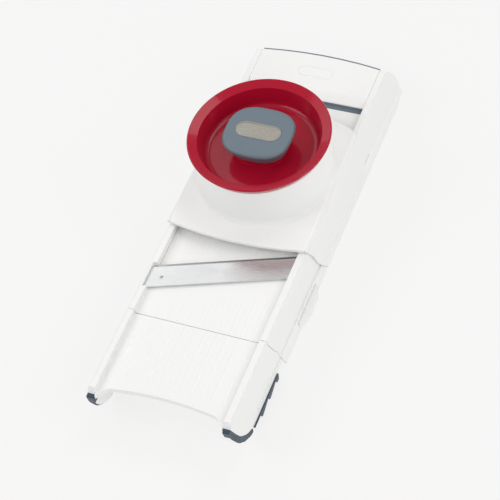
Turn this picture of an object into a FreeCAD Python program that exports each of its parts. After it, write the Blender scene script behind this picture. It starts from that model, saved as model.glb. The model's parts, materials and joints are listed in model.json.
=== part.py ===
"""Mandoline slicer: a three-piece white body, a sliding food carriage and a red food pusher.

Design axes, in millimetres: X across the body, 0 in the middle; Y along it, 0 at the joint between the
foot section and the blade cartridge, + towards the handle; Z up, 0 at the rail tops.
save() moves every piece so that the finished model stands on Z = 0, centred in X and Y.
"""
import FreeCAD
import Part

import math
import os

Vector = FreeCAD.Vector

# body: widths and levels
BED_HALF = 53.0
RAIL_EDGE = 58.9
WALL_FOOT_X = 60.9
LEDGE_X = 62.6
DEPTH = 50.0
LEDGE_Z = -39.5
SHEET = 2.2
LANDING_Z = -5.0
RUN_UP_Z = -6.6
GAP = 0.4

# body: stations along Y
FRONT_Y = -76.0
TOE_X = 53.6
TOE_CAP_Z = -14.0
APRON_Z = -9.5
LUG_YS = (-36.5, -20.5, -4.5)
REAR_SEAM_Y = 100.0
BED_END_Y = 236.5
HEEL_Y = 300.5

# blade
BLADE_SLOPE = 0.352
BLADE_FOOT_Y = 42.6
BLADE_RUN = 22.6
BLADE_TOP_Z = -2.6
BLADE_THICK = 1.0
BLADE_RIGHT = 52.7
BLADE_LEFT = 56.0
PIN_X = 45.0
PIN_OFFSET = 8.8
PIN_DROP = 0.8
THROAT_OFFSET = 12.6

# carriage
TOWER_Y = 154.5
TOWER_TOP = 42.0
TOWER_R = 55.2
BORE_R = 52.8
PLATE_LOW = 1.3
PLATE_TOP = 3.8
SKIRT_Z = -38.5
CARRIAGE_HALF = 61.0
KEY_WIDTH = 3.0
HOOK_YS = (112.0, 196.0)
HOOK_LENGTH = 12.0
FRONT_TRAVEL = 150.0
REAR_TRAVEL = 12.0
GROOVE_START_Y = HOOK_YS[0] - FRONT_TRAVEL - GAP
GROOVE_END_Y = HOOK_YS[1] + HOOK_LENGTH + REAR_TRAVEL + GAP

# pusher
PUSHER_R = 52.4
RIM_R = 58.4
RIM_TOP = 49.2
BOWL_R = 50.3
BOWL_EDGE_Z = 46.4
MOAT_Z = 31.0
PEDESTAL_TOP = 38.0
PEDESTAL_A = 20.0
PEDESTAL_B = 17.0
CUP_BOTTOM = 8.0
PLATE_BOTTOM = 5.0
KNOB_TOP = 52.0
KNOB_WIDEST_Z = 49.2
KNOB_A = 28.4
KNOB_B = 25.4
BADGE_A = 19.0
BADGE_B = 7.7

# fasteners
PIN_R = 1.45
RUN_UP_SCREW_X = 40.0
RUN_UP_SCREW_Y = 97.0
FOOT_SCREW_X = 51.5
FOOT_SCREW_Z = -12.5
HANDLE_SCREW_X = 32.0
HANDLE_SCREW_Y = 262.0
CENTRE_SCREW_R = 1.7

# ribs on the beds
BED_RIB_PITCH = 9.0
BED_RIBS_PER_SIDE = 5
RUN_UP_RIB_PITCH = 5.0
RUN_UP_RIBS_PER_SIDE = 10

# handle
COVER_HALF = 52.96
GRIP_HALF = 52.7

# latches
LATCH_Y0 = 46.0
LATCH_Y1 = 86.0
LATCH_OUT = 66.1
LATCH_Z0 = -49.4
LATCH_Z1 = -41.0
LATCH_FLANGE_X = 57.4
TAIL_Z0 = -47.0
TAIL_Z1 = -43.0
BARB_Y0 = 113.2
BARB_Y1 = 117.6
BARB_X = 61.6
POCKET_X = 51.0

# where the model's own origin goes: midway between the toes and the rounded heels
Y_CENTRE = (-80.9 + HEEL_Y) / 2

PARTS = {}


# ---------------------------------------------------------------- building blocks

def box(x0, x1, y0, y1, z0, z1):
    """A block between two corners."""
    return Part.makeBox(x1 - x0, y1 - y0, z1 - z0, Vector(x0, y0, z0))


def rod(x, y, z0, z1, radius):
    """An upright cylinder."""
    return Part.makeCylinder(radius, z1 - z0, Vector(x, y, z0))


def corner(before, here, after, radius):
    """The two tangent points and the middle point of a rounded corner."""
    inward = (before - here).normalize()
    outward = (after - here).normalize()
    half = inward.getAngle(outward) / 2
    reach = radius / math.tan(half)
    middle_way = (inward + outward).normalize()
    centre = here + middle_way * (radius / math.sin(half))
    return here + inward * reach, centre - middle_way * radius, here + outward * reach


def outline(points, place):
    """A closed face from corners (a, b) or (a, b, radius), put into space by place(a, b)."""
    spots = [place(p[0], p[1]) for p in points]
    count = len(points)
    ends = []
    edges = []
    for i, p in enumerate(points):
        radius = p[2] if len(p) > 2 else 0
        if radius:
            first, middle, last = corner(spots[i - 1], spots[i], spots[(i + 1) % count], radius)
            edges.append(Part.Arc(first, middle, last).toShape())
            ends.append((first, last))
        else:
            ends.append((spots[i], spots[i]))
    for i in range(count):
        start = ends[i][1]
        stop = ends[(i + 1) % count][0]
        if start.distanceToPoint(stop) > 1e-6:
            edges.append(Part.LineSegment(start, stop).toShape())
    return Part.Face(Part.Wire(Part.__sortEdges__(edges)))


def along_x(points, x0, x1):
    """Corners are (y, z)."""
    return outline(points, lambda a, b: Vector(x0, a, b)).extrude(Vector(x1 - x0, 0, 0))


def along_y(points, y0, y1):
    """Corners are (x, z)."""
    return outline(points, lambda a, b: Vector(a, y0, b)).extrude(Vector(0, y1 - y0, 0))


def along_z(points, z0, z1):
    """Corners are (x, y)."""
    return outline(points, lambda a, b: Vector(a, b, z0)).extrude(Vector(0, 0, z1 - z0))


def turned(points, x=0.0, y=0.0):
    """A solid of revolution about a vertical axis; corners are (radius, z)."""
    face = outline(points, lambda a, b: Vector(x + a, y, b))
    return face.revolve(Vector(x, y, 0), Vector(0, 0, 1), 360)


def mirrored(shape):
    """The same shape on the left side."""
    return shape.mirror(Vector(0, 0, 0), Vector(1, 0, 0))


def both_sides(shape):
    """A right-hand shape and its mirror image."""
    return [shape, mirrored(shape)]


def fuse(shapes):
    """One solid from overlapping shapes."""
    first = shapes[0]
    if len(shapes) == 1:
        return first
    return first.fuse(shapes[1:]).removeSplitter()


def squircle(a, b, z, power=2.6, count=32):
    """A rounded oval wire, half-widths a and b, round the tower's axis."""
    points = []
    for i in range(count):
        t = 2 * math.pi * i / count
        c = math.cos(t)
        s = math.sin(t)
        x = a * math.copysign(abs(c) ** (2 / power), c)
        y = b * math.copysign(abs(s) ** (2 / power), s)
        points.append(Vector(x, TOWER_Y + y, z))
    curve = Part.BSplineCurve()
    curve.interpolate(points, PeriodicFlag=True)
    return Part.Wire(curve.toShape())


def loft(wires, ruled=False):
    """A solid through closed wires."""
    return Part.makeLoft(wires, True, ruled)


def save(name, shape):
    """Puts a piece in its final place and writes its STEP file."""
    moved = shape.copy()
    moved.translate(Vector(0, -Y_CENTRE, DEPTH))
    PARTS[name] = moved
    moved.exportStep("parts/" + name + ".step")


# ---------------------------------------------------------------- body sections

def half_section(bed_z, ledge=True, bed=True):
    """The right half of the trough, as corners (x, z)."""
    under = bed_z - 2.5
    start = 0.0 if bed else BED_HALF
    inner = [(57.0, under), (start, under)]
    if ledge:
        wall = [(60.5, LEDGE_Z + 0.6, 2.0), (LEDGE_X, LEDGE_Z - 3.0, 4.0), (LEDGE_X + 0.3, -DEPTH, 0.6),
                (60.6, -DEPTH), (60.2, -42.0), (58.5, LEDGE_Z)]
    else:
        wall = [(WALL_FOOT_X, -43.5), (WALL_FOOT_X - SHEET, -43.5)]
    if bed:
        top = [(start, bed_z), (BED_HALF, bed_z), (BED_HALF, 0, 0.8), (RAIL_EDGE, 0, 2.2)]
    else:
        top = [(BED_HALF, 0, 0.8), (RAIL_EDGE, 0, 2.2)]
    return top + wall + inner


def trough(bed_z, y0, y1, ledge=True, bed=True):
    """A length of the body: walls, and a bed unless it is left out."""
    right = along_y(half_section(bed_z, ledge, bed), y0, y1)
    if bed:
        return fuse(both_sides(right))
    return Part.makeCompound(both_sides(right))


def hook_groove():
    """The groove in both walls that the carriage's hooks run in; its ends are the carriage's stops."""
    right = box(59.4, 62.0, GROOVE_START_Y, GROOVE_END_Y, -38.9, -35.9)
    return Part.makeCompound(both_sides(right))


def seam_region(points):
    """All of the body on the handle side of a seam, as a cutter."""
    far = HEEL_Y + 30
    return along_x(points + [(far, -80), (far, 30)], -80, 80)


def front_seam(shift):
    """The joint between the foot section and the blade cartridge."""
    return seam_region([(shift, 30), (shift, LANDING_Z), (7.0 + shift, -24.0), (8.5 + shift, -25.5),
                        (15.0 + shift, -DEPTH - 5)])


def rear_seam(shift):
    """The joint between the blade cartridge and the rear frame."""
    y = REAR_SEAM_Y + shift
    return seam_region([(y, 30), (y, -35.0), (y + 12, -DEPTH - 1), (y + 12, -70)])


def slanted(offset0, offset1, z0, z1, half=BED_HALF):
    """A bar parallel to the blade between two distances from the blade's lower edge."""
    lean = BLADE_SLOPE * half
    low = BLADE_FOOT_Y + offset0
    high = BLADE_FOOT_Y + offset1
    return along_z([(-half, low - lean), (half, low + lean), (half, high + lean), (-half, high - lean)],
                   z0, z1)


def flute(x, y0, y1, z, width=2.0, height=0.22):
    """One raised rib on a bed, with a round top."""
    left = Vector(x - width / 2, y0, z - 0.1)
    right = Vector(x + width / 2, y0, z - 0.1)
    arc = Part.Arc(left, Vector(x, y0, z + height), right).toShape()
    floor = Part.LineSegment(right, left).toShape()
    return Part.Face(Part.Wire([arc, floor])).extrude(Vector(0, y1 - y0, 0))


def rib_places(per_side, pitch):
    """X of each rib, symmetric about the middle."""
    return [pitch * i for i in range(-per_side, per_side + 1)]


# ---------------------------------------------------------------- foot section

def front_edge_outline():
    """Everything in front of the bed's hollow front edge."""
    far = -120.0
    return [(-52.9, far), (-52.9, -79.0), (-45.5, -69.9, 9.0), (-15, -66.4, 200), (15, -66.4, 200),
            (45.5, -69.9, 9.0), (52.9, -79.0), (52.9, far)]


def side_profile():
    """The foot's side seen from +X: white part only."""
    return [(FRONT_Y + 1.5, 5), (FRONT_Y + 1.5, 0, 2.0), (FRONT_Y - 1.5, -5.5), (-73.5, -17.0, 30),
            (-69.0, -28.0, 20), (-60.0, -38.5, 20), (-49.0, -43.5, 10), (-40, -60), (60, -60), (60, 5)]


def foot_section():
    """The front module: bed with ribs, thin apron, screw bosses and the linings behind the toes."""
    body = trough(LANDING_Z, FRONT_Y - 8, 30, ledge=False)
    body = body.cut(front_seam(-GAP / 2))
    body = body.common(along_x(side_profile(), -80, 80))
    body = body.cut(along_z(front_edge_outline(), -80, 20))
    ahead = along_z(front_edge_outline(), APRON_Z, LANDING_Z)
    behind = ahead.copy()
    behind.translate(Vector(0, 2.4, 0))
    apron = behind.cut(ahead).common(box(-TOE_X + 0.2, TOE_X - 0.2, -79, -60, APRON_Z, LANDING_Z))
    ribs = [box(-56.5, 56.5, y, y + 1.8, -15, LANDING_Z - 1) for y in (-44, -16)]
    body = fuse([body, apron] + ribs + both_sides(toe_lining()))
    flutes = []
    for x in rib_places(BED_RIBS_PER_SIDE, BED_RIB_PITCH):
        flutes.append(flute(x, -56.0 - 0.0012 * x ** 2, -2.0, LANDING_Z))
    bosses = both_sides(box(48.0, 57.5, -12, 10, -17, LANDING_Z - 1).cut(front_seam(-GAP / 2)))
    body = fuse([body] + bosses + flutes)
    body = body.cut(hook_groove())
    holes = both_sides(hole_along_y(FOOT_SCREW_X, -13, 6, FOOT_SCREW_Z, 1.5))
    return body.cut(Part.makeCompound(holes))


def hole_along_y(x, y0, y1, z, radius):
    """A cylinder along Y."""
    return Part.makeCylinder(radius, y1 - y0, Vector(x, y0, z), Vector(0, 1, 0))


def foot_screw(x, head_y, tip_y, z, shank=1.15, head=3.0):
    """A screw that runs along Y, its head facing the front."""
    body = hole_along_y(x, head_y, tip_y, z, shank)
    cap = hole_along_y(x, head_y - 2.0, head_y, z, head)
    socket = hole_along_y(x, head_y - 2.5, head_y - 0.9, z, 1.1)
    return fuse([body, cap]).cut(socket)


def toe_lining():
    """The wall's own inner layer behind the lower part of the right toe."""
    points = [(-78.0, TOE_CAP_Z), (-72.8, -30.4, 20), (-65.5, -39.4, 20), (-57.2, -45.3, 15), (-52.5, -46.9),
              (-50.3, -43.5), (-49.0, -35.0), (-68.0, -20.0), (-72.0, TOE_CAP_Z)]
    layer = along_y([(57.0, -7.5), (58.0, -7.5), (60.0, -DEPTH), (59.0, -DEPTH)], -90, -40)
    return along_x(points, 50, 70).common(layer)


def toe():
    """The right rubber toe: a cap on the wall's front corner, and a skin over the curved edge below it."""
    outer = [(FRONT_Y - 1.5, -5.5), (-81.2, -5.5, 1.6), (-79.5, -16, 20), (-73.5, -31, 20), (-66.0, -40, 20),
             (-57.5, -46, 15), (-52.5, -47.6, 0.8), (-51.8, -44.2), (-60.0, -38.5, 20), (-69.0, -28.0, 20),
             (-73.5, -17.0, 30)]
    block = along_x(outer, TOE_X, 63)
    skin = along_y([(45, 5), (RAIL_EDGE - 0.2, 5), (RAIL_EDGE, 0), (WALL_FOOT_X + 0.15, -50), (45, -50)],
                   -90, -40)
    behind_skin = along_y([(45, TOE_CAP_Z), (58.31, TOE_CAP_Z), (60.0, -DEPTH), (45, -DEPTH)], -90, -40)
    return block.common(skin).cut(behind_skin)


def bowl_strip():
    """The right rubber strip with its saw-tooth lugs."""
    base = -43.5
    thin = base - 1.8
    points = [(-50.0, base), (-50.0, thin)]
    for y in LUG_YS[:-1]:
        points += [(y - 0.8, thin), (y, -DEPTH, 0.5), (y + 2.5, -DEPTH, 0.8), (y + 14.5, thin - 0.4)]
    last = LUG_YS[-1]
    points += [(last - 0.8, thin), (last, -DEPTH, 0.5), (last + 4.0, -DEPTH, 1.6), (last + 5.0, base, 1.0)]
    return along_x(points, 57.2, WALL_FOOT_X + 1.0)


# ---------------------------------------------------------------- blade cartridge

def blade_cartridge():
    """The middle module: landing, blade seat, support for the run-up plate and the latch pockets."""
    whole = (-5, REAR_SEAM_Y + 20)
    far = 200
    landing = trough(LANDING_Z, *whole).common(slanted(-far, THROAT_OFFSET, -80, 20, 70))
    support = trough(RUN_UP_Z - 2.0, *whole).common(slanted(BLADE_RUN + 1.2, far, -80, 20, 70))
    sides = trough(LANDING_Z, *whole, bed=False)
    seat = slanted(1.6, THROAT_OFFSET, LANDING_Z - 0.1, BLADE_TOP_Z - BLADE_THICK, BED_HALF)
    body = fuse([landing, support, seat] + list(sides.Solids))
    body = body.common(front_seam(GAP / 2))
    body = body.cut(rear_seam(-GAP / 2))
    body = body.cut(Part.makeCompound(both_sides(box(50, 70, LATCH_Y0, LATCH_Y1, -DEPTH - 1, LEDGE_Z - 1.0))))
    pocket = box(POCKET_X, 60.4, LATCH_Y0 - 4, LATCH_Y1 + 4, -47.0, -34.0)
    pocket = pocket.cut(box(POCKET_X + 1.8, 62, LATCH_Y0 - 2.2, LATCH_Y1 + 2.2, -60, -36.0))
    tail_door = box(LATCH_FLANGE_X - 3.0, LATCH_FLANGE_X + 1.8, LATCH_Y1 + 2, LATCH_Y1 + 5,
                    TAIL_Z0 - GAP, TAIL_Z1 + GAP)
    pocket = pocket.cut(tail_door)
    pads = [rod(s * PIN_X, pin_y(s * PIN_X), -9.4, LANDING_Z, 4.0) for s in (-1, 1)]
    bosses = both_sides(box(48.0, 57.5, 0, 14, -17, LANDING_Z - 1).common(front_seam(GAP / 2)))
    posts = both_sides(rod(RUN_UP_SCREW_X, RUN_UP_SCREW_Y, -15, RUN_UP_Z - 2.5, 3.2))
    ribs = []
    for x in rib_places(BED_RIBS_PER_SIDE, BED_RIB_PITCH):
        ribs.append(flute(x, 2.2, BLADE_FOOT_Y + BLADE_SLOPE * x - 18.6, LANDING_Z))
    body = fuse([body] + both_sides(pocket) + pads + bosses + posts + ribs)
    holes = [rod(s * PIN_X, pin_y(s * PIN_X), -12, 0, 1.5) for s in (-1, 1)]
    holes += both_sides(hole_along_y(FOOT_SCREW_X, 1, 13, FOOT_SCREW_Z, 1.2))
    holes += both_sides(rod(RUN_UP_SCREW_X, RUN_UP_SCREW_Y, -16, 0, 1.3))
    notch = slanted(-0.3, BLADE_RUN + 0.3, BLADE_TOP_Z - BLADE_THICK, 1, 60)
    holes.append(notch.common(box(-BLADE_LEFT - 0.3, -BED_HALF + 0.1, 0, 90, -10, 2)))
    return body.cut(hook_groove()).cut(Part.makeCompound(holes))


def pin_y(x):
    """Y of a blade pin, on a line parallel to the blade."""
    return BLADE_FOOT_Y + PIN_OFFSET + BLADE_SLOPE * x


def blade():
    """The blade lies in a notch of the left wall and ends against the right one."""
    low_left = BLADE_FOOT_Y - BLADE_SLOPE * BLADE_LEFT
    low_right = BLADE_FOOT_Y + BLADE_SLOPE * BLADE_RIGHT
    high = BLADE_FOOT_Y + BLADE_RUN
    bottom = BLADE_TOP_Z - BLADE_THICK
    sheet = along_z([(-BLADE_LEFT, low_left, 1.2), (BLADE_RIGHT, low_right, 1.2),
                     (BLADE_RIGHT, low_right + BLADE_RUN, 1.2), (-BLADE_LEFT, low_left + BLADE_RUN, 3.0)],
                    bottom, BLADE_TOP_Z)
    angle = math.degrees(math.atan(BLADE_SLOPE))
    wedge = along_x([(-2.6, 0.0), (1.0, 0.0), (1.0, -0.95), (-0.15, -0.95)], -80, 80)
    wedge.rotate(Vector(0, 0, 0), Vector(0, 0, 1), angle)
    wedge.translate(Vector(0, high, BLADE_TOP_Z))
    sheet = sheet.cut(wedge)
    holes = [rod(s * PIN_X, pin_y(s * PIN_X), -10, 0, 1.55) for s in (-1, 1)]
    return sheet.cut(Part.makeCompound(holes))


def blade_pins():
    """Two plain pins, their ends a little below the blade's top face."""
    pins = []
    for side in (-1, 1):
        x = side * PIN_X
        y = pin_y(x)
        pins.append(rod(x, y, -12.0, BLADE_TOP_Z - PIN_DROP, PIN_R))
    return Part.makeCompound(pins)


def push_nuts():
    """Thin toothed washers that grip the pins under the seat."""
    nuts = []
    for side in (-1, 1):
        x = side * PIN_X
        y = pin_y(x)
        nuts.append(rod(x, y, -10.2, -9.5, 3.6).cut(rod(x, y, -11, -9, PIN_R)))
    return Part.makeCompound(nuts)


def run_up_plate():
    """The plate before the cutting edge, lower than the blade by the slice thickness."""
    half = BED_HALF - 0.3
    lean = BLADE_SLOPE * half
    edge = BLADE_FOOT_Y + BLADE_RUN + 1.4
    end = REAR_SEAM_Y - GAP
    sheet = along_z([(-half, edge - lean), (half, edge + lean), (half, end), (-half, end)],
                    RUN_UP_Z - 1.9, RUN_UP_Z)
    ribs = []
    for x in rib_places(RUN_UP_RIBS_PER_SIDE, RUN_UP_RIB_PITCH):
        start = edge + BLADE_SLOPE * x + 2.5
        if start < end - 4:
            ribs.append(flute(x, start, end - 1.0, RUN_UP_Z, 1.8, 0.14))
    holes = both_sides(rod(RUN_UP_SCREW_X, RUN_UP_SCREW_Y, -12, 0, 1.7))
    heads = both_sides(rod(RUN_UP_SCREW_X, RUN_UP_SCREW_Y, RUN_UP_Z - 1.0, 0, 3.0))
    return fuse([sheet] + ribs).cut(Part.makeCompound(holes + heads))


def run_up_screws():
    """Two flat-headed screws, their heads sunk in the run-up plate."""
    screws = []
    for x in (-RUN_UP_SCREW_X, RUN_UP_SCREW_X):
        shank = rod(x, RUN_UP_SCREW_Y, -14.0, RUN_UP_Z - 0.9, 1.28)
        head = rod(x, RUN_UP_SCREW_Y, RUN_UP_Z - 0.95, RUN_UP_Z - 0.1, 2.8)
        slot = box(x - 2.0, x + 2.0, RUN_UP_SCREW_Y - 0.4, RUN_UP_SCREW_Y + 0.4, RUN_UP_Z - 0.6, RUN_UP_Z + 1)
        screws.append(fuse([shank, head]).cut(slot))
    return Part.makeCompound(screws)


# ---------------------------------------------------------------- latches

def latch():
    """The right squeeze tab: finger pad, neck in the window, inner flange, and a tail whose barb
    catches in the rear frame's wall. Pressing the pad draws the barb out of its notch."""
    y0 = LATCH_Y0 + 0.5
    y1 = LATCH_Y1 - 0.5
    pad = along_z([(61.0, y0), (62.8, y0, 1.0), (LATCH_OUT, y0 + 16, 12.0), (LATCH_OUT, y1 - 7.0, 7.0),
                   (62.8, y1, 2.0), (61.0, y1)], LATCH_Z0, LATCH_Z1)
    neck = box(58.6, 61.5, y0, y1, LATCH_Z0, LATCH_Z1 - 0.4)
    flange = box(LATCH_FLANGE_X, 60.0, LATCH_Y0 - 1.8, LATCH_Y1 + 1.8, LATCH_Z0 + 0.4, LATCH_Z1 - 1.2)
    inner = LATCH_FLANGE_X
    outer = LATCH_FLANGE_X + 1.2
    tail = along_z([(inner, LATCH_Y1), (outer, LATCH_Y1), (outer, BARB_Y0), (BARB_X, BARB_Y0, 0.3),
                    (BARB_X, BARB_Y0 + 0.8, 0.3), (outer + 0.3, BARB_Y1), (inner, BARB_Y1)], TAIL_Z0, TAIL_Z1)
    return fuse([pad, neck, flange, tail])


def latch_spring():
    """The right return spring: a bowed steel strip between the pocket and the flange."""
    y = (LATCH_Y0 + LATCH_Y1) / 2
    inner = POCKET_X + 1.8
    outer = LATCH_FLANGE_X
    points = [(inner, y - 15), (inner + 0.5, y - 15), (outer, y - 2), (outer, y + 2), (inner + 0.5, y + 15),
              (inner, y + 15), (outer - 0.5, y + 1.7), (outer - 0.5, y - 1.7)]
    return along_z(points, -47.5, -42.5)


# ---------------------------------------------------------------- rear frame and handle

def cheek_profile():
    """The rear frame's side seen from +X."""
    return [(60, 5), (60, -60), (262, -60), (280, -DEPTH - 1), (HEEL_Y, -44.0, 5.0), (HEEL_Y, -34.0, 34),
            (HEEL_Y - 6.5, -15.0, 40), (HEEL_Y - 24.5, 5)]


def rear_frame():
    """The rear module: bed, walls, cheeks, the hollow core of the handle and the tongues."""
    bed = trough(RUN_UP_Z, 80, BED_END_Y)
    cheeks = trough(RUN_UP_Z, 80, HEEL_Y + 2, bed=False)
    body = fuse([bed] + list(cheeks.Solids))
    body = body.common(rear_seam(GAP / 2))
    body = body.common(along_x(cheek_profile(), -80, 80))
    core = handle_prism(242.0, -21.0, -4.2, 281.0, 2.0)
    core = core.cut(box(-56, 56, 241.0, 249.5, -5.4, 0))
    hollow = handle_prism(244.2, -18.8, 0, 278.6, 1.5)
    web = box(-1.2, 1.2, 243, 280, -20, -6).common(core)
    arms = both_sides(box(50.6, 53.0, 91.5, 130, -47.5, -41.0))
    bridges = both_sides(box(50.6, 61.0, BARB_Y1 + 1.5, 130, -47.5, -43.0))
    pillars = [rod(x, HANDLE_SCREW_Y, -20, -7.0, 3.6) for x in (-HANDLE_SCREW_X, HANDLE_SCREW_X)]
    lip = box(-57, 57, BED_END_Y - 4, BED_END_Y, -16, RUN_UP_Z - 1)
    link = [box(s * 55.0 - 2.2, s * 55.0 + 2.2, BED_END_Y - 3, 246, -16, -10) for s in (-1, 1)]
    ribs = [box(-57, 57, y, y + 1.8, -16, RUN_UP_Z - 1) for y in (120, 158, 196)]
    body = fuse([body, core.cut(hollow), web, lip] + arms + bridges + pillars + link + ribs)
    notches = both_sides(box(59.5, BARB_X + GAP, BARB_Y0 - GAP, BARB_Y1 + GAP, TAIL_Z0 - GAP, TAIL_Z1 + GAP))
    screw_holes = [rod(x, HANDLE_SCREW_Y, -24, 0, 1.7) for x in (-HANDLE_SCREW_X, HANDLE_SCREW_X)]
    return body.cut(hook_groove()).cut(Part.makeCompound(notches + screw_holes))


def handle_prism(y0, z0, z1, y1, radius):
    """A bar with the handle core's section."""
    return along_x([(y0, z1), (y0, z0, radius), (y1 - 8, z0, 6.0), (y1, z1)], -55, 55)


def rear_arc(centre_y, end_y, half):
    """Corner list of a plan outline that ends in one wide arc towards the handle's end."""
    sag = centre_y - end_y
    radius = (half ** 2 + sag ** 2) / (2 * sag)
    steps = 6
    points = []
    for i in range(steps + 1):
        x = half - 2 * half * i / steps
        points.append((x, centre_y - radius + math.sqrt(radius ** 2 - x ** 2)))
    return points


def cover_plan(margin):
    """Everything within the cover's outline, seen from above."""
    half = COVER_HALF
    return along_z([(-half, 230), (half, 230)] + rear_arc(285.7 + margin, 282.0 + margin, half), -20, 10)


def handle_cover():
    """The white top cover: rolled down at the front, crowned behind, with a plain raised oval."""
    profile = [(240.2, -4.6), (241.8, -5.2, 0.5), (249.5, -2.6, 9), (288, -2.6), (288, -0.3),
               (250.0, -0.3, 12), (240.8, -3.4, 0.8)]
    shell = along_x(profile, -COVER_HALF, COVER_HALF)
    plan = cover_plan(0.0)
    oval = stadium(0, 267, 16.0, 5.6, -1.0, 0.0).cut(stadium(0, 267, 15.0, 4.6, -2.0, 1.0))
    bosses = [rod(x, HANDLE_SCREW_Y, -7.0, -1.5, 3.6) for x in (-HANDLE_SCREW_X, HANDLE_SCREW_X)]
    body = fuse([shell.common(plan), oval] + bosses)
    pilots = [rod(x, HANDLE_SCREW_Y, -8, -1.6, 1.3) for x in (-HANDLE_SCREW_X, HANDLE_SCREW_X)]
    return body.cut(Part.makeCompound(pilots))


def stadium(x, y, half_long, half_wide, z0, z1):
    """A block with round ends."""
    flat = half_long - half_wide
    middle = box(x - flat, x + flat, y - half_wide, y + half_wide, z0, z1)
    ends = [rod(x + s * flat, y, z0, z1, half_wide) for s in (-1, 1)]
    return fuse([middle] + ends)


def handle_grip():
    """The grey soft insert: a strip behind the bed, the underside of the handle and its rear lip."""
    outer = along_x([(BED_END_Y + 0.4, RUN_UP_Z - 0.4), (BED_END_Y + 0.4, -10.0), (238.6, -10.5),
                     (239.2, -24.4, 6.0), (276.0, -24.4, 8.0), (285.5, -10.0, 20), (288.4, -2.9), (240, -2.9),
                     (239.4, -5.6), (238.2, -6.2, 1.0)],
                    -GRIP_HALF, GRIP_HALF)
    core = along_x([(242.0 - 0.02, 5), (242.0 - 0.02, -21.0, 2.0), (273.0, -21.0, 6.0), (281.0, -4.2),
                    (281.0, 5)], -60, 60)
    edge = [(-GRIP_HALF, 230), (GRIP_HALF, 230)] + rear_arc(287.2, 283.4, GRIP_HALF)
    body = outer.cut(core).common(along_z(edge, -40, 10))
    lip = along_z(edge, -3.0, -0.5).common(box(-GRIP_HALF, GRIP_HALF, 275, 300, -5, 0)).cut(cover_plan(0.05))
    body = fuse([body, lip])
    body = body.cut(along_x([(239.9, -5.9), (243, -5.9), (243, 5), (239.9, 5)], -60, 60))
    counterbores = [rod(x, HANDLE_SCREW_Y, -30, -20.5, 3.4) for x in (-HANDLE_SCREW_X, HANDLE_SCREW_X)]
    grooves = [box(-40, 40, y, y + 1.6, -25, -23.6) for y in (246, 251, 256, 268, 273)]
    return body.cut(Part.makeCompound(counterbores + grooves))


def handle_screws():
    """Two screws from below, through the grip and the frame into the cover."""
    screws = []
    for x in (-HANDLE_SCREW_X, HANDLE_SCREW_X):
        shank = rod(x, HANDLE_SCREW_Y, -21.05, -2.4, 1.28)
        head = rod(x, HANDLE_SCREW_Y, -23.0, -21.0, 3.0)
        socket = rod(x, HANDLE_SCREW_Y, -24, -21.9, 1.2)
        screws.append(fuse([shank, head]).cut(socket))
    return Part.makeCompound(screws)


# ---------------------------------------------------------------- carriage

def carriage_section():
    """Saddle plate and skirts, outer skin only up to the plate's top; corners (x, z)."""
    right = [(0, PLATE_TOP), (CARRIAGE_HALF, PLATE_TOP, 5.0), (LEDGE_X, SKIRT_Z, 0.6),
             (61.0, SKIRT_Z, 0.4), (59.3, PLATE_LOW, 2.0), (0, PLATE_LOW)]
    return right


def plan_arcs():
    """The carriage's plate seen from above: bowed front and rear edges."""
    front_mid = Vector(0, 79.6, -50)
    rear_mid = Vector(0, 222.0, -50)
    corners = [Vector(-64, 86.2, -50), Vector(64, 86.2, -50), Vector(64, 206.0, -50), Vector(-64, 206.0, -50)]
    edges = [Part.Arc(corners[0], front_mid, corners[1]).toShape(),
             Part.LineSegment(corners[1], corners[2]).toShape(),
             Part.Arc(corners[2], rear_mid, corners[3]).toShape(),
             Part.LineSegment(corners[3], corners[0]).toShape()]
    return Part.Face(Part.Wire(edges)).extrude(Vector(0, 0, 70))


def skirt_profile():
    """One skirt seen from +X: both ends sweep back like a stretched S."""
    return [(85.8, 5), (85.8, 1.0, 4.0), (92.5, -12.0, 30), (97.5, -28.0, 30), (103.5, SKIRT_Z, 6.0),
            (104.5, -60), (240, -60), (221.0, SKIRT_Z, 3.0), (217.5, -28.0, 30), (211.0, -12.0, 30),
            (206.2, 1.0, 4.0), (206.2, 5)]


def carriage_body():
    """Saddle plate, skirts, tower with two keys, runners and hooks."""
    right = along_y(carriage_section(), 70, 240)
    saddle = fuse(both_sides(right))
    skirt_zone = along_x(skirt_profile(), -80, 80)
    middle = box(-57.5, 57.5, 60, 250, PLATE_LOW - 1, PLATE_TOP + 1)
    saddle = saddle.common(fuse([skirt_zone.common(box(-80, 80, 60, 250, -60, 10)), middle]))
    saddle = saddle.common(plan_arcs())
    tower = turned([(BORE_R, PLATE_LOW), (58.8, PLATE_LOW), (58.8, 2.95), (55.9, 5.6, 6.0),
                    (TOWER_R, TOWER_TOP, 1.1), (BORE_R, TOWER_TOP, 0.6)], 0, TOWER_Y)
    bore = rod(0, TOWER_Y, -10, 60, BORE_R)
    keys = []
    for side in (-1, 1):
        centre = side * BORE_R
        keys.append(box(centre - 1.4, centre + 1.4, TOWER_Y - KEY_WIDTH / 2, TOWER_Y + KEY_WIDTH / 2,
                        PLATE_LOW, TOWER_TOP - 2.0))
    runners = both_sides(box(54.0, 57.5, 92, 202, PLATE_LOW - 1.0, PLATE_LOW + 0.2))
    body = fuse([saddle.cut(bore), tower] + runners + keys)
    hooks = []
    for y in HOOK_YS:
        hooks += both_sides(box(59.9, 61.6, y, y + HOOK_LENGTH, -38.2, -36.5))
    return fuse([body] + hooks)


# ---------------------------------------------------------------- pusher

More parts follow.
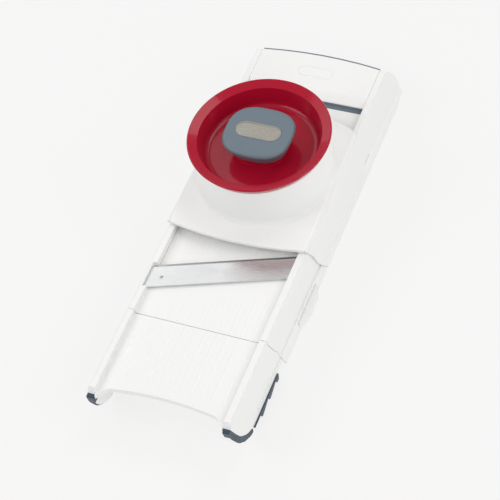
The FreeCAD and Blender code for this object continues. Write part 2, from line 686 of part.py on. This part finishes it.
def pusher_cup():
    """The red cup: flared lip, round finger recess and a pedestal for the knob."""
    outer = turned([(0, CUP_BOTTOM), (PUSHER_R, CUP_BOTTOM, 0.6), (PUSHER_R, TOWER_TOP + 0.35),
                    (55.4, TOWER_TOP + 0.35, 0.4), (RIM_R, RIM_TOP - 1.0, 0.5), (RIM_R - 0.8, RIM_TOP, 0.5),
                    (0, RIM_TOP)], 0, TOWER_Y)
    bowl = turned([(0, MOAT_Z), (BOWL_R - 4.5, MOAT_Z, 5.0), (BOWL_R, BOWL_EDGE_Z), (RIM_R - 1.2, RIM_TOP),
                   (RIM_R - 1.2, RIM_TOP + 3), (0, RIM_TOP + 3)], 0, TOWER_Y)
    pedestal = loft([squircle(PEDESTAL_A + 2.0, PEDESTAL_B + 2.0, MOAT_Z - 1),
                     squircle(PEDESTAL_A + 0.5, PEDESTAL_B + 0.5, MOAT_Z + 3),
                     squircle(PEDESTAL_A, PEDESTAL_B, PEDESTAL_TOP)])
    under = rod(0, TOWER_Y, CUP_BOTTOM - 1, MOAT_Z - 2.6, 50.0)
    inside = loft([squircle(PEDESTAL_A, PEDESTAL_B, CUP_BOTTOM),
                   squircle(PEDESTAL_A - 2.4, PEDESTAL_B - 2.4, PEDESTAL_TOP - 2.4)])
    body = outer.cut(bowl)
    body = fuse([body, pedestal])
    body = body.cut(under).cut(inside)
    boss = rod(0, TOWER_Y, CUP_BOTTOM + 2.0, PEDESTAL_TOP - 1, 4.6)
    body = fuse([body, boss])
    slots = key_slots(CUP_BOTTOM - 1, TOWER_TOP - 1.2)
    return body.cut(Part.makeCompound(slots + [rod(0, TOWER_Y, 0, 60, CENTRE_SCREW_R + GAP)]))


def key_slots(z0, z1):
    """Two slots for the tower's keys."""
    slots = []
    for side in (-1, 1):
        centre = side * BORE_R
        slots.append(box(centre - 1.9, centre + 1.9, TOWER_Y - KEY_WIDTH / 2 - 0.4,
                         TOWER_Y + KEY_WIDTH / 2 + 0.4, z0, z1))
    return slots


def pusher_knob():
    """Narrow at the pedestal, widest just under its low crowned top."""
    lower = [(5.0, PEDESTAL_TOP), (2.2, 43.5), (0.0, KNOB_WIDEST_Z)]
    upper = [(0.0, KNOB_WIDEST_Z), (0.7, 50.9), (3.2, KNOB_TOP)]
    halves = []
    for part in (lower, upper):
        halves.append(loft([squircle(KNOB_A - inset, KNOB_B - inset, z, 2.7) for inset, z in part]))
    body = fuse(halves)
    recess = stadium(0, TOWER_Y, BADGE_A + 0.15, BADGE_B + 0.15, KNOB_TOP - 1.4, KNOB_TOP + 3)
    hole = rod(0, TOWER_Y, PEDESTAL_TOP - 1, 46.0, CENTRE_SCREW_R + 0.05)
    return body.cut(recess).cut(hole)


def badge():
    """A plain plate with round ends and a thin raised rim."""
    low = stadium(0, TOWER_Y, BADGE_A, BADGE_B, KNOB_TOP - 1.35, KNOB_TOP - 0.2)
    rim = stadium(0, TOWER_Y, BADGE_A, BADGE_B, KNOB_TOP - 0.2, KNOB_TOP + 0.15)
    field = stadium(0, TOWER_Y, BADGE_A - 0.9, BADGE_B - 0.9, KNOB_TOP - 0.2, KNOB_TOP + 1)
    return fuse([low, rim.cut(field)])


def pusher_plate():
    """The white disc under the cup, with holes for the food pins."""
    disc = turned([(0, PLATE_BOTTOM), (PUSHER_R - 0.4, PLATE_BOTTOM, 0.8), (PUSHER_R - 0.4, CUP_BOTTOM),
                   (49.7, CUP_BOTTOM), (49.7, CUP_BOTTOM + 1.8), (47.7, CUP_BOTTOM + 1.8), (47.7, CUP_BOTTOM),
                   (0, CUP_BOTTOM)], 0, TOWER_Y)
    holes = [rod(x, y, 0, 20, 0.95) for x, y in pin_places()]
    holes.append(rod(0, TOWER_Y, 0, 20, CENTRE_SCREW_R + GAP))
    holes.append(rod(0, TOWER_Y, 0, PLATE_BOTTOM + 1.6, 4.2))
    return disc.cut(Part.makeCompound(key_slots(0, 20) + holes))


def pin_places():
    """The food pins stand on two circles."""
    places = []
    for radius, count, turn in ((18.0, 6, 0.0), (36.0, 10, 0.2)):
        for i in range(count):
            angle = 2 * math.pi * i / count + turn
            places.append((radius * math.cos(angle), TOWER_Y + radius * math.sin(angle)))
    return places


def food_pins():
    """Pointed pins that hold the food."""
    pins = []
    for x, y in pin_places():
        point = Part.makeCone(0.15, 0.92, 2.2, Vector(x, y, -0.6))
        shank = rod(x, y, 1.6, CUP_BOTTOM - 0.1, 0.92)
        pins.append(fuse([point, shank]))
    return Part.makeCompound(pins)


def pusher_screw():
    """The screw from below that holds plate, cup and knob together."""
    shank = rod(0, TOWER_Y, PLATE_BOTTOM + 1.6, 45.0, CENTRE_SCREW_R)
    head = rod(0, TOWER_Y, PLATE_BOTTOM - 0.2, PLATE_BOTTOM + 1.6, 3.9)
    socket = rod(0, TOWER_Y, PLATE_BOTTOM - 1, PLATE_BOTTOM + 0.9, 1.6)
    return fuse([shank, head]).cut(socket)


# ---------------------------------------------------------------- write the pieces

def build():
    """Makes every piece."""
    save("rear_frame", rear_frame())
    save("handle_cover", handle_cover())
    save("handle_grip", handle_grip())
    save("handle_screws", handle_screws())
    save("blade_cartridge", blade_cartridge())
    save("run_up_plate", run_up_plate())
    save("run_up_screws", run_up_screws())
    save("blade", blade())
    save("blade_pins", blade_pins())
    save("push_nuts", push_nuts())
    save("foot_section", foot_section())
    save("foot_screws", Part.makeCompound(both_sides(foot_screw(FOOT_SCREW_X, -12, 11, FOOT_SCREW_Z))))
    for side, turn in (("right", lambda s: s), ("left", mirrored)):
        save("toe_" + side, turn(toe()))
        save("bowl_strip_" + side, turn(bowl_strip()))
        save("latch_" + side, turn(latch()))
        save("latch_spring_" + side, turn(latch_spring()))
    save("carriage_body", carriage_body())
    save("pusher_cup", pusher_cup())
    save("pusher_knob", pusher_knob())
    save("badge", badge())
    save("pusher_plate", pusher_plate())
    save("food_pins", food_pins())
    save("pusher_screw", pusher_screw())


def report():
    """Prints the size and the state of every piece."""
    for name in sorted(PARTS):
        shape = PARTS[name]
        bound = shape.BoundBox
        print("%-20s solids %2d valid %s volume %8.0f  X %7.1f %7.1f  Y %7.1f %7.1f  Z %6.1f %6.1f" % (
            name, len(shape.Solids), shape.isValid(), shape.Volume, bound.XMin, bound.XMax,
            bound.YMin, bound.YMax, bound.ZMin, bound.ZMax))


os.makedirs("parts", exist_ok=True)
build()
report()
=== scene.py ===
"""Looks for the mandoline slicer: materials on the CAD nodes, a camera and a studio."""

import json
import math

import bpy
from mathutils import Matrix, Vector

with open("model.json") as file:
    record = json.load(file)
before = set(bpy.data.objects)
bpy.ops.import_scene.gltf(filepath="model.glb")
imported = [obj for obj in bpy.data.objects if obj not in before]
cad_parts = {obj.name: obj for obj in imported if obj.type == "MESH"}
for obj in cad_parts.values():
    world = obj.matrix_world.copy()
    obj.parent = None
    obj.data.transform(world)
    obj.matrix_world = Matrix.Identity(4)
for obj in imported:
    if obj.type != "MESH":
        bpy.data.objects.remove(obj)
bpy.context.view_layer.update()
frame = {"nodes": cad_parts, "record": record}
NODES = frame["nodes"]

# camera: viewing angles in degrees, distance in metres, lens in millimetres,
# and the point that it looks at
AZIMUTH = 32.84
ELEVATION = 52.30
ROLL = -14.27
DISTANCE = 1.4166
LENS = 127.9
AIM = Vector((0.0093, -0.02395, 0.0369))

# studio: the table glows, so that shadows stay pale and the walls are lit from below;
# it lies a hair under the object, so that the two surfaces never coincide
TABLE_GLOW = 0.752
TABLE_HALF = 60.0
TABLE_DROP = 0.0002
ROOM_LIGHT = 0.42
SOFTBOX_DISTANCE = 1.9
WHITE = (1, 1, 1, 1)

# the blade is slanted: metres along the body per metre across it
BLADE_SLANT = 0.352

# where the values of a noise texture mostly lie
NOISE_LOW = 0.25
NOISE_HIGH = 0.75


# ---------------------------------------------------------------- node helpers

def new_material(name, colour, roughness, metallic=0.0, coat=0.0, coat_roughness=0.1):
    """A Principled material; returns (material, nodes, links, shader)."""
    material = bpy.data.materials.new(name)
    material.use_nodes = True
    nodes = material.node_tree.nodes
    shader = nodes["Principled BSDF"]
    shader.inputs["Base Color"].default_value = (*colour, 1)
    shader.inputs["Roughness"].default_value = roughness
    shader.inputs["Metallic"].default_value = metallic
    shader.inputs["Coat Weight"].default_value = coat
    shader.inputs["Coat Roughness"].default_value = coat_roughness
    return material, nodes, material.node_tree.links, shader


def place(nodes, links, stretch=(1, 1, 1)):
    """Object coordinates in metres, stretched."""
    where = nodes.new("ShaderNodeTexCoord")
    mapping = nodes.new("ShaderNodeMapping")
    mapping.inputs["Scale"].default_value = stretch
    links.new(where.outputs["Object"], mapping.inputs["Vector"])
    return mapping.outputs["Vector"]


def noise(nodes, links, vector, scale, detail=4.0, roughness=0.55):
    """Soft random values from about 0.25 to 0.75."""
    texture = nodes.new("ShaderNodeTexNoise")
    texture.inputs["Scale"].default_value = scale
    texture.inputs["Detail"].default_value = detail
    texture.inputs["Roughness"].default_value = roughness
    links.new(vector, texture.inputs["Vector"])
    return texture.outputs["Fac"]


def spread(nodes, links, value, low, high, start=NOISE_LOW, end=NOISE_HIGH):
    """Maps a value that runs from start to end onto low to high."""
    remap = nodes.new("ShaderNodeMapRange")
    remap.inputs["From Min"].default_value = start
    remap.inputs["From Max"].default_value = end
    remap.inputs["To Min"].default_value = low
    remap.inputs["To Max"].default_value = high
    links.new(value, remap.inputs["Value"])
    return remap.outputs["Result"]


def two_tone(nodes, links, value, first, second):
    """A colour between two colours."""
    mix = nodes.new("ShaderNodeMix")
    mix.data_type = "RGBA"
    links.new(value, mix.inputs["Factor"])
    colour_a, colour_b = mix.inputs[6], mix.inputs[7]
    colour_a.default_value = (*first, 1)
    colour_b.default_value = (*second, 1)
    return mix.outputs[2]


def relief(nodes, links, height, distance, edge):
    """A bump normal over edges that look rounded by the given radius; both sizes in metres."""
    bump = nodes.new("ShaderNodeBump")
    bump.inputs["Strength"].default_value = 1.0
    bump.inputs["Distance"].default_value = distance
    links.new(height, bump.inputs["Height"])
    rounded = nodes.new("ShaderNodeBevel")
    rounded.samples = 4
    rounded.inputs["Radius"].default_value = edge
    links.new(rounded.outputs["Normal"], bump.inputs["Normal"])
    return bump.outputs["Normal"]


def scuffs(nodes, links, low, high):
    """Roughness from low to high in fine, long handling marks that cover only part of the surface."""
    marks = noise(nodes, links, place(nodes, links, (260, 35, 260)), 3.0, 6, 0.7)
    patches = noise(nodes, links, place(nodes, links), 38, 3)
    both = nodes.new("ShaderNodeMath")
    both.operation = "MULTIPLY"
    links.new(marks, both.inputs[0])
    links.new(patches, both.inputs[1])
    return spread(nodes, links, both.outputs[0], low, high, start=0.12, end=0.42)


# ---------------------------------------------------------------- materials

def white_plastic():
    """Moulded white plastic: satin gloss, very faint flow marks, fine handling marks and orange peel."""
    material, nodes, links, shader = new_material("white_plastic", (0.90, 0.90, 0.89), 0.3)
    flow = noise(nodes, links, place(nodes, links, (14, 3, 14)), 1.4, 2)
    tone = two_tone(nodes, links, flow, (0.885, 0.885, 0.873), (0.900, 0.900, 0.892))
    links.new(tone, shader.inputs["Base Color"])
    links.new(scuffs(nodes, links, 0.30, 0.40), shader.inputs["Roughness"])
    peel = noise(nodes, links, place(nodes, links), 700, 1)
    links.new(relief(nodes, links, peel, distance=0.000004, edge=0.0002), shader.inputs["Normal"])
    return material


def red_plastic():
    """Glossy red plastic with soft swirls from moulding and hair-fine handling marks."""
    material, nodes, links, shader = new_material("red_plastic", (0.42, 0.006, 0.027), 0.18, coat=0.30,
                                                  coat_roughness=0.05)
    shader.inputs["Specular IOR Level"].default_value = 0.15
    swirl = noise(nodes, links, place(nodes, links, (9, 9, 20)), 2.2, 3)
    tone = two_tone(nodes, links, swirl, (0.39, 0.0045, 0.0235), (0.44, 0.0062, 0.0285))
    links.new(tone, shader.inputs["Base Color"])
    links.new(scuffs(nodes, links, 0.17, 0.22), shader.inputs["Roughness"])
    peel = noise(nodes, links, place(nodes, links), 500, 1)
    links.new(relief(nodes, links, peel, distance=0.000004, edge=0.0004), shader.inputs["Normal"])
    return material


def soft_touch(name, colour, lighter, grain):
    """Soft plastic or rubber: matt, a fine erosion grain, a slightly paler bloom in patches."""
    material, nodes, links, shader = new_material(name, colour, 0.5)
    shader.inputs["Sheen Weight"].default_value = 0.05
    shader.inputs["Sheen Roughness"].default_value = 0.4
    where = place(nodes, links)
    tone = two_tone(nodes, links, noise(nodes, links, where, 60, 5), colour, lighter)
    links.new(tone, shader.inputs["Base Color"])
    links.new(scuffs(nodes, links, 0.40, 0.55), shader.inputs["Roughness"])
    pores = noise(nodes, links, where, grain, 3)
    links.new(relief(nodes, links, pores, distance=0.00002, edge=0.0003), shader.inputs["Normal"])
    return material


def brushed(name, colour, stretch, roughness, turn=0.0):
    """Metal with fine grinding lines along one direction."""
    material, nodes, links, shader = new_material(name, colour, roughness, metallic=1.0)
    shader.inputs["Anisotropic"].default_value = 0.4
    vector = place(nodes, links, stretch)
    vector.node.inputs["Rotation"].default_value = (0, 0, turn)
    lines = noise(nodes, links, vector, 60, 6, 0.7)
    darker = tuple(0.88 * c for c in colour)
    links.new(two_tone(nodes, links, lines, darker, colour), shader.inputs["Base Color"])
    links.new(spread(nodes, links, lines, 0.75 * roughness, 1.3 * roughness), shader.inputs["Roughness"])
    links.new(relief(nodes, links, lines, distance=0.000012, edge=0.0002), shader.inputs["Normal"])
    return material


def hammered_nickel():
    """The badge's satin nickel with a fine mottled ground."""
    material, nodes, links, shader = new_material("nickel", (0.62, 0.59, 0.53), 0.34, metallic=1.0)
    where = place(nodes, links)
    mottle = noise(nodes, links, where, 420, 6, 0.65)
    tone = two_tone(nodes, links, mottle, (0.28, 0.265, 0.235), (0.54, 0.52, 0.465))
    links.new(tone, shader.inputs["Base Color"])
    links.new(spread(nodes, links, mottle, 0.26, 0.46), shader.inputs["Roughness"])
    links.new(relief(nodes, links, mottle, distance=0.00009, edge=0.0002), shader.inputs["Normal"])
    return material


MATERIALS = {
    "white_plastic": white_plastic(),
    "red_plastic": red_plastic(),
    "grey_soft": soft_touch("grey_soft", (0.132, 0.172, 0.208), (0.150, 0.193, 0.230), 1500),
    "dark_rubber": soft_touch("dark_rubber", (0.022, 0.044, 0.072), (0.032, 0.058, 0.090), 900),
    "blade_steel": brushed("blade_steel", (0.76, 0.765, 0.77), (1, 40, 40), 0.24,
                           turn=-math.atan(BLADE_SLANT)),
    "nickel": hammered_nickel(),
    "screw_steel": brushed("screw_steel", (0.66, 0.66, 0.67), (12, 12, 1), 0.3),
}


def paint_cad_nodes():
    """Gives every CAD node the material of its slot in the record."""
    for row in frame["record"]["subparts"]:
        slots = NODES[row["node"]].data.materials
        slots.clear()
        slots.append(MATERIALS[row["material_slot"]])


# ---------------------------------------------------------------- studio

def seen_at(azimuth, elevation):
    """The direction from the object to a place seen at these angles; azimuth 0 is in front of the toes."""
    azimuth, elevation = math.radians(azimuth), math.radians(elevation)
    return Vector((math.sin(azimuth) * math.cos(elevation), -math.cos(azimuth) * math.cos(elevation),
                   math.sin(elevation)))


def camera():
    """The camera, at the angles above."""
    azimuth, roll = math.radians(AZIMUTH), math.radians(ROLL)
    back = seen_at(AZIMUTH, ELEVATION)
    level = Vector((math.cos(azimuth), math.sin(azimuth), 0))
    right = level * math.cos(roll) + back.cross(level) * math.sin(roll)
    up = back.cross(right)
    data = bpy.data.cameras.new("camera")
    data.lens = LENS
    data.sensor_width = 36
    seen_from = bpy.data.objects.new("camera", data)
    seen_from.matrix_world = Matrix.Translation(AIM + back * DISTANCE) @ Matrix(
        (right, up, back)).transposed().to_4x4()
    bpy.context.scene.collection.objects.link(seen_from)
    bpy.context.scene.camera = seen_from


def softbox(name, azimuth, elevation, power, size=1.1):
    """A square area light that faces the object."""
    data = bpy.data.lights.new(name, "AREA")
    data.size = size
    data.energy = power
    lamp = bpy.data.objects.new(name, data)
    direction = seen_at(azimuth, elevation)
    lamp.location = AIM + direction * SOFTBOX_DISTANCE
    lamp.rotation_mode = "QUATERNION"
    lamp.rotation_quaternion = (-direction).to_track_quat("-Z", "Y")
    bpy.context.scene.collection.objects.link(lamp)


def table():
    """A pale table that glows softly."""
    mesh = bpy.data.meshes.new("floor")
    corners = [(TABLE_HALF * x, TABLE_HALF * y, 0) for x, y in ((-1, -1), (1, -1), (1, 1), (-1, 1))]
    mesh.from_pydata(corners, [], [(0, 1, 2, 3)])
    floor = bpy.data.objects.new("floor", mesh)
    floor.location.z = -TABLE_DROP
    bpy.context.scene.collection.objects.link(floor)
    surface, _, _, shader = new_material("floor", (0.17, 0.17, 0.165), 0.9)
    shader.inputs["Specular IOR Level"].default_value = 0.0
    shader.inputs["Emission Color"].default_value = WHITE
    shader.inputs["Emission Strength"].default_value = TABLE_GLOW
    floor.data.materials.append(surface)


def studio():
    """White room light and five softboxes round the object."""
    world = bpy.data.worlds.new("studio")
    world.use_nodes = True
    background = world.node_tree.nodes["Background"]
    background.inputs["Color"].default_value = WHITE
    background.inputs["Strength"].default_value = ROOM_LIGHT
    bpy.context.scene.world = world
    bpy.context.scene.view_settings.view_transform = "Standard"
    softbox("front_right", 45, 35, 6.4)
    softbox("right", 92, 38, 7.0)
    softbox("key", 160, 58, 6.4, 0.9)
    softbox("rear_left", 233, 40, 4.5)
    softbox("front_left", 300, 44, 10.5)


paint_cad_nodes()
camera()
table()
studio()
